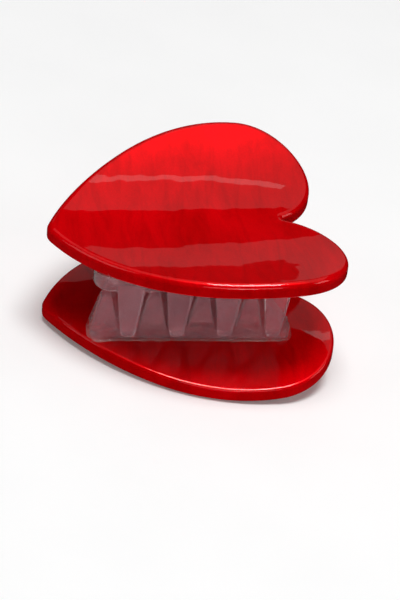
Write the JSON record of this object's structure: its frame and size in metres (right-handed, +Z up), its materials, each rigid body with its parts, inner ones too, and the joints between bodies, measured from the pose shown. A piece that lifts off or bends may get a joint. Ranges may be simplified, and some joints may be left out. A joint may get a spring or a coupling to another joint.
{
  "type": "heart-shaped hair claw clip",
  "caption": "Sprung hair claw clip: curved glossy red heart plates bonded to clear toothed combs that close together on a steel hinge pin.",
  "frame": {"origin": "bottom centre of the whole clip as it lies on its lower heart", "axes": "+Z up; X along the row of teeth, heart tip toward -X and notch toward +X; -Y is the toothed side that opens, +Y the handle side"},
  "size_m": [0.0816, 0.0782, 0.0459],
  "materials": {
    "red_acetate": "polished pearl red",
    "clear_plastic": "clear moulded plastic",
    "clear_adhesive": "cured clear adhesive",
    "pin_steel": "drawn wire",
    "spring_steel": "spring wire"
  },
  "bodies": {
    "lower_half": {"lower_heart": "red_acetate", "lower_bond": "clear_adhesive", "lower_comb": "clear_plastic", "hinge_pin": "pin_steel", "torsion_spring": "spring_steel"},
    "upper_half": {"upper_heart": "red_acetate", "upper_bond": "clear_adhesive", "upper_comb": "clear_plastic"}
  },
  "joints": [
    {"name": "jaw_hinge", "type": "hinge", "parent": "lower_half", "child": "upper_half", "pos_m": [-0.00037, 0.00642, 0.02075], "axis": [-0.9968, 0, -0.0802], "range_deg": [0, 52], "stiffness_Nm_per_rad": 0.12, "springref_deg": -57.3, "deforming": ["torsion_spring"]}
  ]
}
